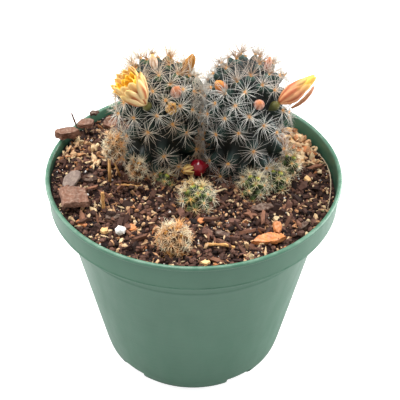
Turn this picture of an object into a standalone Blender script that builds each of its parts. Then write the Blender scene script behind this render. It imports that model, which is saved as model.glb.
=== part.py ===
"""A clustering nipple cactus in flower, in a green plastic nursery pot.

Metres, +Z up. The origin is the centre of the pot's foot, on the surface that it stands on, and -Y is the front.
Angles round the plant are in degrees from the front, positive towards +X.
"""

import math
import random

import bmesh
import bpy
from mathutils import Matrix, Vector

# The pot
RIM_DIAMETER = 0.110
POT_HEIGHT = 0.088
FOOT_DIAMETER = 0.062
WALL = 0.0012
LIP_WIDTH = 0.0023
COLLAR_DROP = 0.0107
COLLAR_DRAFT = 0.0008
SHOULDER_STEP = 0.0046
SHOULDER_RISE = 0.0012
RING_BELOW_COLLAR = 0.0080
RING_STANDS_OUT = 0.0004
RING_HEIGHT = 0.0010
WALL_SLOPE = 0.180
HEEL_HEIGHT = 0.0095
FOOT_RING_WIDTH = 0.0030
FLOOR_RECESS = 0.0020
NOTCHES = 5
NOTCH_WIDTH = 0.0115
NOTCH_HEIGHT = 0.0072
FIRST_NOTCH = 31.0
POT_SEGMENTS = 64

# The potting mix
HEADSPACE = 0.0055
BED_TILT = 0.045
SWELL_HEIGHT = 0.0004
SWELL_LENGTH = 0.045
MIX_SEGMENTS = 40

# What stands between neighbouring pieces
GAP = 0.0004
ROOTED = 0.0045

# The three heads: half widths along X, Y and Z, and how high their middles are above the bed
LEFT_HEAD = Vector((0.0160, 0.0165, 0.0252))
LEFT_RISE = 0.0155
RIGHT_HEAD = Vector((0.0160, 0.0175, 0.0266))
RIGHT_RISE = 0.0155
BACK_HEAD = Vector((0.0092, 0.0092, 0.0125))
BACK_RISE = 0.0085
CLEFT_X = 0.0030
LEFT_Y = 0.0140
RIGHT_Y = 0.0125


def polar(angle, distance):
    """A point on the plan, by its angle from the front and its distance from the middle."""
    turn = math.radians(angle)
    return Vector((distance * math.sin(turn), -distance * math.cos(turn)))


# Materials and objects


def paint(name, colour, roughness=0.6):
    material = bpy.data.materials.new(name)
    material.use_nodes = True
    shader = material.node_tree.nodes["Principled BSDF"]
    shader.inputs["Base Color"].default_value = (*colour, 1.0)
    shader.inputs["Roughness"].default_value = roughness
    shader.inputs["Metallic"].default_value = 0.0
    material.diffuse_color = (*colour, 1.0)
    return material


def add_object(name, bm, material, sharp_above=40.0):
    """The bmesh as a smooth-shaded object of its own."""
    bmesh.ops.recalc_face_normals(bm, faces=bm.faces)
    mesh = bpy.data.meshes.new(name)
    bm.to_mesh(mesh)
    bm.free()
    mesh.shade_smooth()
    mesh.set_sharp_from_angle(angle=math.radians(sharp_above))
    mesh.materials.append(material)
    made = bpy.data.objects.new(name, mesh)
    bpy.context.scene.collection.objects.link(made)
    return made


def hide_cutter(cutter):
    cutter.hide_render = True
    cutter.display_type = "WIRE"


def cut(target, cutter):
    hide_cutter(cutter)
    modifier = target.modifiers.new(cutter.name, "BOOLEAN")
    modifier.operation = "DIFFERENCE"
    modifier.solver = "EXACT"
    modifier.object = cutter


def turned(profile, segments):
    """A closed body of revolution about Z, from (radius, height) points that start and end on the axis or meet."""
    bm = bmesh.new()
    points = [bm.verts.new((radius, 0.0, height)) for radius, height in profile]
    edges = [bm.edges.new(pair) for pair in zip(points, points[1:])]
    if profile[0][0] > 0.0:
        edges.append(bm.edges.new((points[-1], points[0])))
    bmesh.ops.spin(
        bm,
        geom=points + edges,
        axis=(0, 0, 1),
        cent=(0, 0, 0),
        angle=math.tau,
        steps=segments,
        use_merge=True,
    )
    bmesh.ops.remove_doubles(bm, verts=bm.verts, dist=1e-6)
    return bm


def arc(middle, radius, start, end, steps):
    """Points of a round in a profile, its angles in degrees from +R, anticlockwise."""
    found = []
    for step in range(steps + 1):
        turn = math.radians(start + (end - start) * step / steps)
        found.append((middle[0] + radius * math.cos(turn), middle[1] + radius * math.sin(turn)))
    return found


def aim(bm, place, direction):
    """Turns a shape made along +Z to point along the direction, with its foot at the place."""
    turn = Vector(direction).to_track_quat("Z", "Y").to_matrix().to_4x4()
    bmesh.ops.transform(bm, matrix=Matrix.Translation(place) @ turn, verts=bm.verts)


# The pot: one thin-walled moulding with a rolled lip, a collar, a ring line and a notched heel

RIM_RADIUS = RIM_DIAMETER / 2
FOOT_RADIUS = FOOT_DIAMETER / 2
COLLAR_FOOT = POT_HEIGHT - COLLAR_DROP
COLLAR_RADIUS = RIM_RADIUS - COLLAR_DRAFT
SHOULDER_RADIUS = COLLAR_RADIUS - SHOULDER_STEP
RING_Z = COLLAR_FOOT - RING_BELOW_COLLAR
FLOOR_TOP = FLOOR_RECESS + WALL
BORE_RADIUS = RIM_RADIUS - LIP_WIDTH


def wall_radius(height):
    """The outer radius of the tapered wall below the shoulder."""
    return SHOULDER_RADIUS - WALL_SLOPE * (COLLAR_FOOT - SHOULDER_RISE - height)


def pot_profile():
    lip = LIP_WIDTH / 2
    heel_side = wall_radius(HEEL_HEIGHT)
    outer = [(FOOT_RADIUS, 0.0)]
    for share, climb in ((0.30, 0.10), (0.62, 0.32), (0.88, 0.62)):
        outer.append((FOOT_RADIUS + share * (heel_side - FOOT_RADIUS), climb * HEEL_HEIGHT))
    outer += [
        (heel_side, HEEL_HEIGHT),
        (wall_radius(RING_Z), RING_Z),
        (wall_radius(RING_Z) + RING_STANDS_OUT, RING_Z + RING_HEIGHT / 2),
        (wall_radius(RING_Z + RING_HEIGHT), RING_Z + RING_HEIGHT),
        (SHOULDER_RADIUS, COLLAR_FOOT - SHOULDER_RISE),
        (COLLAR_RADIUS - WALL, COLLAR_FOOT),
        (COLLAR_RADIUS, COLLAR_FOOT + 0.0004),
        (RIM_RADIUS - 0.0006, POT_HEIGHT - 1.6 * LIP_WIDTH),
    ]
    outer += arc((RIM_RADIUS - lip, POT_HEIGHT - lip), lip, 0.0, 180.0, 6)
    inner = [
        (BORE_RADIUS, POT_HEIGHT - 1.6 * LIP_WIDTH),
        (BORE_RADIUS - 0.0001, COLLAR_FOOT + WALL),
        (SHOULDER_RADIUS - WALL, COLLAR_FOOT - SHOULDER_RISE - WALL),
        (heel_side - WALL, HEEL_HEIGHT),
        (FOOT_RADIUS + 0.6 * (heel_side - FOOT_RADIUS) - WALL, FLOOR_TOP + 0.2 * HEEL_HEIGHT),
        (FOOT_RADIUS - WALL, FLOOR_TOP),
        (0.0, FLOOR_TOP),
        (0.0, FLOOR_RECESS),
        (FOOT_RADIUS - FOOT_RING_WIDTH, FLOOR_RECESS),
        (FOOT_RADIUS - FOOT_RING_WIDTH, 0.0),
    ]
    return outer, inner


def make_pot():
    outer, inner = pot_profile()
    axis_at = inner.index((0.0, FLOOR_RECESS))
    around = inner[axis_at:] + outer + inner[:axis_at]
    pot = add_object(
        "nursery_pot", turned(around, POT_SEGMENTS), paint("pot_green", (0.075, 0.190, 0.130), 0.42)
    )
    for number in range(NOTCHES):
        bm = bmesh.new()
        bmesh.ops.create_cube(bm, size=1.0)
        reach = FOOT_RING_WIDTH + wall_radius(HEEL_HEIGHT) - FOOT_RADIUS + 0.004
        bmesh.ops.scale(bm, vec=(NOTCH_WIDTH, reach, 2 * NOTCH_HEIGHT), verts=bm.verts)
        bmesh.ops.translate(
            bm, vec=(0, -(FOOT_RADIUS - FOOT_RING_WIDTH - 0.001 + reach / 2), 0), verts=bm.verts
        )
        turn = math.radians(FIRST_NOTCH + number * 360.0 / NOTCHES)
        bmesh.ops.rotate(bm, matrix=Matrix.Rotation(turn, 3, "Z"), verts=bm.verts)
        cut(pot, add_object(f"notch_cutter_{number}", bm, pot.data.materials[0]))
    return pot


# The bed: the top of the potting mix, heaped a little towards the left

BED_RADIUS = BORE_RADIUS - 0.0001 - GAP
BED_Z = POT_HEIGHT - HEADSPACE


def bed(x, y):
    """The height of the potting mix's top at a point of the plan."""
    swell = math.sin(math.tau * x / SWELL_LENGTH + 0.7) * math.cos(math.tau * y / SWELL_LENGTH)
    return BED_Z - BED_TILT * x + SWELL_HEIGHT * swell


def resting_surface(x, y):
    """What a loose piece lies on: the bed, or the pot's lip where it reaches over it."""
    return POT_HEIGHT if math.hypot(x, y) > BED_RADIUS - GAP else bed(x, y)


# Heads and offsets: each a closed round body, flat at the base where it goes into the mix


class Head:
    """A round stem: the middle of its body and its half widths along X, Y and Z."""

    def __init__(self, middle, half):
        self.middle = Vector(middle)
        self.half = Vector(half)

    def point(self, angle, climb):
        """The point of its skin at an angle from the front and a climb above its equator, with the way out."""
        out = polar(angle, math.cos(math.radians(climb))).to_3d()
        out.z = math.sin(math.radians(climb))
        skin = Vector(out[i] * self.half[i] for i in range(3))
        normal = Vector(out[i] / self.half[i] for i in range(3)).normalized()
        return self.middle + skin, normal

    def beside(self, angle, rise, reach):
        """Where the middle of a neighbour goes so that it just clears this head, reach being its half width."""
        height = BED_Z + rise
        grown = self.half + Vector((reach + GAP,) * 3)
        share = math.sqrt(max(0.0, 1.0 - ((height - self.middle.z) / grown.z) ** 2))
        way = polar(angle, 1.0)
        span = share / math.hypot(way.x / grown.x, way.y / grown.y)
        return Vector((self.middle.x + way.x * span, self.middle.y + way.y * span, height))


def round_body(middle, half, floor_z, segments, rings):
    """An ellipsoid with a flat base at floor_z."""
    bm = bmesh.new()
    bmesh.ops.create_uvsphere(bm, u_segments=segments, v_segments=rings, radius=1.0)
    bmesh.ops.scale(bm, vec=half, verts=bm.verts)
    bmesh.ops.translate(bm, vec=middle, verts=bm.verts)
    if middle.z - half.z < floor_z:
        cutting = bm.verts[:] + bm.edges[:] + bm.faces[:]
        bmesh.ops.bisect_plane(
            bm, geom=cutting, dist=1e-7, plane_co=(0, 0, floor_z), plane_no=(0, 0, 1), clear_inner=True
        )
        bmesh.ops.holes_fill(bm, edges=[edge for edge in bm.edges if edge.is_boundary], sides=0)
    return bm


def add_head(name, head, material, mix, segments=28, rings=18):
    """The head as an object, with a pocket for it in the mix."""
    floor_z = bed(head.middle.x, head.middle.y) - ROOTED
    made = add_object(name, round_body(head.middle, head.half, floor_z, segments, rings), material)
    grown = head.half + Vector((GAP,) * 3)
    if head.middle.z - grown.z < bed(head.middle.x, head.middle.y) + BED_TILT * grown.x:
        pocket = round_body(head.middle, grown, floor_z - GAP, segments, rings)
        cut(mix, add_object(f"{name}_pocket", pocket, material))
    return made


def make_mix():
    """The potting mix: the inside of the pot, up to the bed."""
    side = [
        (0.0, FLOOR_TOP + GAP),
        (FOOT_RADIUS - WALL - 2 * GAP, FLOOR_TOP + GAP),
        (wall_radius(HEEL_HEIGHT) - WALL - 2 * GAP, HEEL_HEIGHT + 2 * GAP),
        (SHOULDER_RADIUS - WALL - 2 * GAP, COLLAR_FOOT - SHOULDER_RISE - WALL),
        (BED_RADIUS, COLLAR_FOOT + WALL + GAP),
    ]
    rings = [(BED_RADIUS * share, BED_Z) for share in (1.0, 0.9, 0.76, 0.62, 0.48, 0.34, 0.2, 0.08, 0.0)]
    bm = turned(side + rings, MIX_SEGMENTS)
    for vertex in bm.verts:
        if vertex.co.z > BED_Z - 1e-6:
            vertex.co.z = bed(vertex.co.x, vertex.co.y)
    return add_object("potting_mix", bm, paint("dark_mix", (0.045, 0.026, 0.020), 0.95))


# Flowers, buds and fruit: turned or petalled shapes made along +Z and then aimed


def egg(length, width, points=7, fullest=0.5):
    """A closed profile that is fullest part of the way up."""
    found = []
    for step in range(points + 1):
        share = step / points
        bulge = math.sin(math.pi * share ** (math.log(0.5) / math.log(fullest)))
        found.append((0.0 if step in (0, points) else width / 2 * bulge, length * share))
    return found


def add_egg(name, place, direction, length, width, material, segments=12, fullest=0.5):
    bm = turned(egg(length, width, fullest=fullest), segments)
    aim(bm, place, direction)
    return add_object(name, bm, material)


def petal_cup(petals, rows, wall):
    """A cup of joined petals: rows are (radius, height at a petal's middle, height at the gap beside it)."""
    bm = bmesh.new()
    around = 2 * petals
    foot = bmesh.ops.create_circle(bm, segments=around, radius=rows[0][0], cap_ends=False)["verts"]
    bmesh.ops.translate(bm, vec=(0, 0, rows[0][1]), verts=foot)
    edges = bm.edges[:]
    for radius, tip, dip in rows[1:]:
        made = bmesh.ops.extrude_edge_only(bm, edges=edges)["geom"]
        for vertex in [part for part in made if isinstance(part, bmesh.types.BMVert)]:
            turn = math.atan2(vertex.co.y, vertex.co.x)
            at_tip = round(turn / math.tau * around) % 2 == 0
            vertex.co = (radius * math.cos(turn), radius * math.sin(turn), tip if at_tip else dip)
        edges = [part for part in made if isinstance(part, bmesh.types.BMEdge)]
    bmesh.ops.recalc_face_normals(bm, faces=bm.faces)
    bmesh.ops.solidify(bm, geom=bm.faces[:], thickness=wall)
    return bm


PETAL_WALL = 0.0004


def seat(bm, head, normal):
    """Slides a shape out along the normal until it just clears the head. Returns how far it went."""
    grown = head.half + Vector((GAP,) * 3)
    way = Vector(normal[i] / grown[i] for i in range(3))
    lift = 0.0
    for vertex in bm.verts:
        start = Vector((vertex.co[i] - head.middle[i]) / grown[i] for i in range(3))
        half_b = way.dot(start)
        inside = half_b**2 - way.dot(way) * (start.dot(start) - 1.0)
        if inside > 0.0:
            lift = max(lift, (math.sqrt(inside) - half_b) / way.dot(way))
    slide = Vector(normal) * lift
    bmesh.ops.translate(bm, vec=slide, verts=bm.verts)
    return slide


def make_flower(side, head, angle, climb, direction, petals, tube, outer, inner):
    """A flower: a green tube on the head, and two rings of petals on the tube."""
    tube_length, tube_width = tube
    way = Vector(direction).normalized()
    skin, normal = head.point(angle, climb)
    green = paint(f"flower_{side}_tube_green", (0.16, 0.22, 0.035), 0.5)
    bm = turned(egg(tube_length, tube_width, fullest=0.55), 12)
    foot = skin - normal * tube_width
    aim(bm, foot, way)
    foot += seat(bm, head, normal)
    add_object(f"flower_{side}_tube", bm, green)
    top = foot + way * (tube_length + GAP)
    bm = petal_cup(petals, outer, PETAL_WALL)
    aim(bm, top, way)
    add_object(f"flower_{side}_outer_petals", bm, paint(f"flower_{side}_peach", (0.82, 0.50, 0.26), 0.5), 60)
    bm = petal_cup(petals, inner, PETAL_WALL)
    aim(bm, top, way)
    add_object(f"flower_{side}_inner_petals", bm, paint(f"flower_{side}_yellow", (0.92, 0.62, 0.12), 0.5), 60)
    return top, way


# Loose pieces on the bed


def bed_place(angle, share):
    """A point of the plan, its distance from the middle a share of the bed's radius."""
    return polar(angle, share * BED_RADIUS)


def rest(bm):
    """Lifts a shape until its lowest point just clears what is under it."""
    clear = min(v.co.z - resting_surface(v.co.x, v.co.y) for v in bm.verts)
    bmesh.ops.translate(bm, vec=(0, 0, GAP - clear), verts=bm.verts)


def add_chip(name, angle, share, size, turn, material, lean=0.0, tip=0.0, sides=7):
    """A flat broken chip: an uneven outline with a thickness, turned about Z, then leant over."""
    length, width, thickness = size
    uneven = random.Random(name)
    bm = bmesh.new()
    bmesh.ops.create_circle(bm, segments=sides, radius=0.5, cap_ends=True)
    for vertex in bm.verts:
        vertex.co *= uneven.uniform(0.86, 1.10)
    raised = bmesh.ops.extrude_face_region(bm, geom=bm.faces[:])["geom"]
    top = [part for part in raised if isinstance(part, bmesh.types.BMVert)]
    bmesh.ops.translate(bm, vec=(0, 0, 1), verts=top)
    for vertex in top:
        vertex.co.x *= uneven.uniform(0.84, 0.98)
        vertex.co.y *= uneven.uniform(0.84, 0.98)
    bmesh.ops.scale(bm, vec=(length, width, thickness), verts=bm.verts)
    place = bed_place(angle, share)
    turned_to = (
        Matrix.Translation((place.x, place.y, BED_Z))
        @ Matrix.Rotation(math.radians(turn), 4, "Z")
        @ Matrix.Rotation(math.radians(lean), 4, "X")
        @ Matrix.Rotation(math.radians(tip), 4, "Y")
    )
    bmesh.ops.transform(bm, matrix=turned_to, verts=bm.verts)
    rest(bm)
    return add_object(name, bm, material, 30)


def add_stick(name, thickness, points, material):
    """A straw, twig or root: a round bar through points of (angle, share of the bed's radius, lift)."""
    curve = bpy.data.curves.new(name, "CURVE")
    curve.dimensions = "3D"
    curve.bevel_depth = thickness / 2
    curve.bevel_resolution = 1
    curve.use_fill_caps = True
    spline = curve.splines.new("POLY")
    spline.points.add(len(points) - 1)
    for point, (angle, share, lift) in zip(spline.points, points):
        place = bed_place(angle, share)
        point.co = (place.x, place.y, bed(place.x, place.y) + GAP + 0.7 * thickness + lift, 1.0)
    curve.materials.append(material)
    made = bpy.data.objects.new(name, curve)
    bpy.context.scene.collection.objects.link(made)
    return made


def add_grain(name, angle, share, size, material):
    """A lump of perlite."""
    uneven = random.Random(name)
    bm = bmesh.new()
    bmesh.ops.create_icosphere(bm, subdivisions=2, radius=0.5)
    for vertex in bm.verts:
        vertex.co *= uneven.uniform(0.88, 1.08)
    bmesh.ops.scale(bm, vec=size, verts=bm.verts)
    place = bed_place(angle, share)
    bmesh.ops.translate(bm, vec=(place.x, place.y, BED_Z), verts=bm.verts)
    rest(bm)
    return add_object(name, bm, material, 60)


def make_heads(mix):
    """The three main heads, side by side with the third behind them. Returns the first two."""
    skin = paint("stem_green", (0.035, 0.085, 0.060), 0.55)
    left = Head((CLEFT_X - GAP / 2 - LEFT_HEAD.x, LEFT_Y, BED_Z + LEFT_RISE), LEFT_HEAD)
    right = Head((CLEFT_X + GAP / 2 + RIGHT_HEAD.x, RIGHT_Y, BED_Z + RIGHT_RISE), RIGHT_HEAD)
    back_y = 0.0
    for head in (left, right):
        grown = head.half + Vector((BACK_HEAD.x + GAP, BACK_HEAD.y + GAP, 0))
        across = (CLEFT_X - head.middle.x) / grown.x
        back_y = max(back_y, head.middle.y + grown.y * math.sqrt(1.0 - across**2))
    back = Head((CLEFT_X, back_y, BED_Z + BACK_RISE), BACK_HEAD)
    add_head("head_left", left, skin, mix)
    add_head("head_right", right, skin, mix)
    add_head("head_back", back, skin, mix, 20, 14)
    return left, right


def make_offsets(left, right, mix):
    """The small heads that bud round the big ones, and the two that stand by themselves."""
    fresh = paint("offset_green", (0.10, 0.14, 0.050), 0.55)
    golden = paint("offset_gold", (0.45, 0.30, 0.080), 0.7)
    budded = (
        ("offset_pale_yellow", left, -24.0, 0.0068, (0.0030, 0.0030, 0.0032), golden),
        ("offset_left_dried", left, -50.0, 0.0135, (0.0036, 0.0036, 0.0044), golden),
        ("offset_low_left", left, 7.0, 0.0014, (0.0034, 0.0034, 0.0036), fresh),
        ("offset_right_front", right, 8.0, 0.0020, (0.0049, 0.0049, 0.0052), fresh),
        ("offset_right_side", right, 36.0, 0.0014, (0.0044, 0.0044, 0.0048), fresh),
        ("offset_right_high", right, 60.0, 0.0048, (0.0036, 0.0036, 0.0040), fresh),
    )
    for name, parent, angle, rise, half, material in budded:
        middle = parent.beside(angle, rise, max(half))
        add_head(name, Head(middle, half), material, mix, 14, 10)
    standing = (
        ("offset_middle_front", 4.5, 0.0160, 0.0030, (0.0058, 0.0056, 0.0054), fresh),
        ("offset_front_dried", -9.5, 0.0396, 0.0030, (0.0054, 0.0054, 0.0058), golden),
    )
    for name, angle, distance, rise, half, material in standing:
        place = polar(angle, distance)
        add_head(name, Head((place.x, place.y, BED_Z + rise), half), material, mix, 16, 12)


def make_flowers(left, right):
    """Two flowers: the left one half open, the right one closed."""
    make_flower(
        "left", left, -9.0, 35.0, (-0.52, -0.12, 0.84), petals=9, tube=(0.0036, 0.0034),
        outer=((0.0010, 0.0, 0.0), (0.0032, 0.0035, 0.0035), (0.0052, 0.0080, 0.0078), (0.0066, 0.0122, 0.0088)),
        inner=((0.0006, 0.0012, 0.0012), (0.0022, 0.0042, 0.0042), (0.0036, 0.0088, 0.0086), (0.0032, 0.0120, 0.0096)),
    )
    top, way = make_flower(
        "right", right, 29.0, 34.0, (0.79, 0.20, 0.58), petals=7, tube=(0.0052, 0.0033),
        outer=((0.0010, 0.0, 0.0), (0.0028, 0.0030, 0.0030), (0.0030, 0.0065, 0.0065), (0.0022, 0.0110, 0.0096)),
        inner=((0.0005, 0.0012, 0.0012), (0.0018, 0.0034, 0.0034), (0.0018, 0.0100, 0.0100), (0.0006, 0.0140, 0.0132)),
    )
    sepal = paint("sepal_tan", (0.62, 0.40, 0.24), 0.6)
    side = way.cross(Vector((0, 1, 0))).normalized()
    low = side if side.z < 0 else -side
    add_egg("flower_right_loose_sepal", top + way * 0.0020 + low * 0.0040, way + 0.12 * low, 0.0095, 0.0014, sepal, 8)


def make_buds(left, right):
    """Buds, dried flowers and the one ripe fruit."""
    pink = paint("bud_pink", (0.62, 0.36, 0.28), 0.5)
    orange = paint("bud_orange", (0.72, 0.33, 0.14), 0.5)
    pale = paint("bud_pale", (0.70, 0.58, 0.34), 0.5)
    dried = paint("dried_brown", (0.27, 0.15, 0.06), 0.8)
    straw = paint("dried_tan", (0.50, 0.32, 0.12), 0.8)
    buds = (
        ("bud_left_pink", left, 34.0, 46.0, (0.10, -0.45, 0.85), 0.0052, 0.0042, pink),
        ("bud_middle_orange", right, -50.0, 48.0, (-0.50, -0.30, 0.80), 0.0056, 0.0040, orange),
        ("bud_right_pink", right, 15.0, 40.0, (0.05, -0.65, 0.75), 0.0044, 0.0036, pink),
        ("bud_left_top", left, -20.0, 80.0, (-0.15, 0.10, 0.98), 0.0050, 0.0028, pale),
        ("bud_right_top", right, 80.0, 67.0, (0.25, 0.20, 0.95), 0.0044, 0.0026, pink),
        ("dried_flower_back", left, 81.0, 56.0, (0.42, 0.25, 0.87), 0.0080, 0.0030, dried),
        ("dried_flower_left", left, 20.0, 36.0, (0.25, -0.80, 0.55), 0.0034, 0.0040, straw),
    )
    for name, head, angle, climb, way, length, width, material in buds:
        skin, normal = head.point(angle, climb)
        bm = turned(egg(length, width), 12)
        aim(bm, skin - normal * width, Vector(way))
        seat(bm, head, normal)
        add_object(name, bm, material)
    fruit_length, fruit_width = 0.0094, 0.0066
    middle = right.beside(-58.0, 0.0042, fruit_length / 2)
    way = polar(-58.0, 1.0).to_3d() + Vector((0, 0, 0.08))
    way.normalize()
    red = paint("fruit_red", (0.42, 0.012, 0.022), 0.25)
    add_egg("fruit", middle - way * fruit_length / 2, way, fruit_length, fruit_width, red, 14, 0.62)
    add_egg("fruit_dried_end", middle + way * (fruit_length / 2 + GAP), way, 0.0016, 0.0030, straw, 8)


def make_chips():
    """Bark and wood on the bed."""
    bark = paint("bark_brown", (0.16, 0.085, 0.060), 0.9)
    dark = paint("bark_dark", (0.07, 0.040, 0.032), 0.9)
    wood = paint("wood_orange", (0.50, 0.26, 0.11), 0.85)
    pale = paint("wood_pale", (0.66, 0.46, 0.24), 0.85)
    grey = paint("leaf_grey", (0.20, 0.155, 0.135), 0.8)
    chips = (
        ("bark_slab_on_rim", -111.0, 1.008, (0.0104, 0.0056, 0.0030), 12.0, bark, 0.0, 0.0, 7),
        ("bark_chip_on_rim", -121.5, 0.962, (0.0076, 0.0062, 0.0018), 30.0, bark, 0.0, 0.0, 7),
        ("bark_chip_rim_dark", -130.5, 1.015, (0.0050, 0.0034, 0.0012), 35.0, dark, 0.0, 0.0, 6),
        ("bark_chip_back", -133.0, 0.890, (0.0074, 0.0058, 0.0016), 30.0, bark, 22.0, 0.0, 7),
        ("leaf_scale", -81.3, 0.866, (0.0100, 0.0060, 0.0007), 62.0, grey, 0.0, -18.0, 9),
        ("bark_chip_by_leaf", -83.5, 0.735, (0.0064, 0.0052, 0.0012), 15.0, dark, 6.0, 0.0, 6),
        ("bark_square", -65.5, 0.885, (0.0142, 0.0138, 0.0022), 59.0, bark, 8.0, 4.0, 4),
        ("wood_chip_left", -53.0, 0.935, (0.0058, 0.0032, 0.0010), -38.0, wood, 0.0, 0.0, 6),
        ("bark_flat", -47.9, 0.730, (0.0072, 0.0046, 0.0010), 8.0, dark, 0.0, 4.0, 6),
        ("wood_chip_tan", -42.9, 0.865, (0.0038, 0.0034, 0.0015), 30.0, wood, 0.0, 0.0, 5),
        ("wood_curl", -34.3, 0.725, (0.0044, 0.0034, 0.0014), -20.0, wood, 14.0, 0.0, 6),
        ("wood_chip_middle", 5.3, 0.497, (0.0038, 0.0032, 0.0016), 40.0, wood, 20.0, 0.0, 5),
        ("bark_chip_front", 17.0, 0.655, (0.0062, 0.0034, 0.0014), -12.0, dark, 0.0, 6.0, 6),
        ("wood_chip_rim", 4.8, 0.910, (0.0044, 0.0028, 0.0012), 4.0, pale, 0.0, 0.0, 4),
        ("wood_chip_peach", 46.0, 0.780, (0.0040, 0.0062, 0.0014), 12.0, wood, 22.0, 0.0, 6),
        ("wood_chip_long", 37.1, 0.825, (0.0130, 0.0050, 0.0018), 12.0, wood, 8.0, 0.0, 7),
        ("bark_curl_dark", 54.5, 0.585, (0.0096, 0.0042, 0.0014), 8.0, dark, 14.0, 0.0, 7),
        ("bark_chip_right", 55.0, 0.900, (0.0062, 0.0036, 0.0018), 44.0, dark, 0.0, 0.0, 6),
        ("wood_chip_right", 91.6, 0.828, (0.0034, 0.0044, 0.0010), 10.0, pale, 0.0, 0.0, 5),
        ("wood_pile_low", 107.5, 0.835, (0.0060, 0.0040, 0.0018), 70.0, pale, 0.0, 8.0, 6),
        ("wood_pile_middle", 115.0, 0.895, (0.0068, 0.0044, 0.0020), 25.0, wood, 10.0, 0.0, 6),
        ("wood_pile_high", 125.0, 0.875, (0.0060, 0.0042, 0.0018), -30.0, pale, 0.0, 10.0, 5),
    )
    for name, angle, share, size, turn, material, lean, tip, sides in chips:
        add_chip(name, angle, share, size, turn, material, lean, tip, sides)
    white = paint("perlite_white", (0.80, 0.79, 0.76), 0.8)
    add_grain("perlite_grain", -36.7, 0.807, (0.0042, 0.0038, 0.0036), white)


def make_sticks():
    """Straws, twigs and a root fibre."""
    straw = paint("straw_yellow", (0.62, 0.42, 0.20), 0.8)
    twig = paint("twig_brown", (0.20, 0.10, 0.055), 0.85)
    root = paint("root_tan", (0.36, 0.24, 0.13), 0.85)
    # This one lies against the plant, so its distances from the middle are lengths, as the heads' are
    beside_heads = ((-57.8, 0.0074, 0.0), (-40.2, 0.0052, 0.0002), (-3.1, 0.0038, 0.0))
    sticks = (
        ("straw_upright", 0.0014, ((-56.5, 0.735, 0.0), (-57.0, 0.733, 0.0035), (-58.0, 0.725, 0.0064)), straw),
        ("twig_thin", 0.0009, ((-49.0, 0.850, 0.0), (-52.0, 0.820, 0.0006), (-55.5, 0.800, 0.0)), twig),
        ("straw_left_long", 0.0010, ((-75.9, 0.605, 0.0), (-73.0, 0.500, 0.0004), (-69.3, 0.401, 0.0)), straw),
        ("straw_left_short", 0.0008, ((-80.5, 0.530, 0.0), (-77.0, 0.460, 0.0002), (-73.5, 0.400, 0.0)), twig),
        (
            "straw_middle",
            0.0008,
            tuple((angle, reach / BED_RADIUS, lift) for angle, reach, lift in beside_heads),
            straw,
        ),
        (
            "bark_strip_curved",
            0.0012,
            ((6.0, 0.745, 0.0), (10.5, 0.775, 0.0014), (15.0, 0.795, 0.0016), (19.5, 0.800, 0.0)),
            straw,
        ),
        ("twig_upright", 0.0008, ((-113.5, 0.950, 0.0068), (-113.0, 0.960, 0.0098), (-112.5, 0.972, 0.0130)), twig),
    )
    for name, thickness, points, material in sticks:
        add_stick(name, thickness, points, material)
    wall_run = [(72.0 + 5.0 * step, 0.980, 0.0030 * math.sin(math.pi * step / 9)) for step in range(10)]
    add_stick("root_fibre", 0.0006, wall_run, root)


def main():
    for old in list(bpy.data.objects):
        bpy.data.objects.remove(old)
    make_pot()
    mix = make_mix()
    left, right = make_heads(mix)
    make_offsets(left, right, mix)
    make_flowers(left, right)
    make_buds(left, right)
    make_chips()
    make_sticks()


main()
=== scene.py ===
# %% [markdown]
# # A nipple cactus in its nursery pot
# The CAD model already has every part at its real size and place. This lesson gives each part the surface that
# it really has: a satin moulded pot, a bed of bark and peat, green stems covered in nipples, and thousands of
# spines. The frame is loaded first and never moved, and every new piece takes its place from it.

import math
import random

import bmesh
import bpy
from mathutils import Matrix, Vector, kdtree, noise


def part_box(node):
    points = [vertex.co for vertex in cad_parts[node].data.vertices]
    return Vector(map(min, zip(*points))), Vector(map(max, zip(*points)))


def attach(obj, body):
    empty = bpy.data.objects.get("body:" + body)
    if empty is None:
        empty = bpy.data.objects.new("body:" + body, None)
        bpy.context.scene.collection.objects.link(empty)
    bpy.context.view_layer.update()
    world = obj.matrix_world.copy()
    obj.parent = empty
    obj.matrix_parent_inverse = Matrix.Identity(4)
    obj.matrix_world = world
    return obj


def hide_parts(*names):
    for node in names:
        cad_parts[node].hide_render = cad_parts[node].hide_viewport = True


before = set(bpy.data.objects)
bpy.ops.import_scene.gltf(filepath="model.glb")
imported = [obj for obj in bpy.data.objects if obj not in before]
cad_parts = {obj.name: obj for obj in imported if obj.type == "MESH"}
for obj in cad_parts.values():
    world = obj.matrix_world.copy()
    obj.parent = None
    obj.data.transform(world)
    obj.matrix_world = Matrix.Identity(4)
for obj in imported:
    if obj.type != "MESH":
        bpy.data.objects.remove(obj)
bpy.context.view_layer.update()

# %% [markdown]
# ## Camera, light and floor
# A plant for sale is usually shown on white paper among softboxes. One sun would be simpler, but it leaves one side
# flat. A large panel overhead lights the crowns and the bed, and a tall panel on each side, a little behind the
# plant, gives the pot its pale edges and leaves its front deep green. A weak surround fills what is left.
# The camera looks down at about forty degrees from a third of a metre, through a long lens.

# %% Camera
LOOK_AT = Vector((0.0024, 0.0, 0.0720))
CAMERA_PLACE = Vector((0.0, -0.2563, 0.2804))
CAMERA_ROLL = 0.75
LENS = 77.4

camera = bpy.data.objects.new("camera", bpy.data.cameras.new("camera"))
bpy.context.scene.collection.objects.link(camera)
camera.data.lens = LENS
camera.data.sensor_width = 36.0
camera.data.clip_start = 0.01
aimed = (LOOK_AT - CAMERA_PLACE).to_track_quat("-Z", "Y").to_matrix().to_4x4()
camera.matrix_world = Matrix.Translation(CAMERA_PLACE) @ aimed @ Matrix.Rotation(math.radians(CAMERA_ROLL), 4, "Z")
bpy.context.scene.camera = camera
print("camera", round((LOOK_AT - CAMERA_PLACE).length, 3), "m away")

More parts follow.
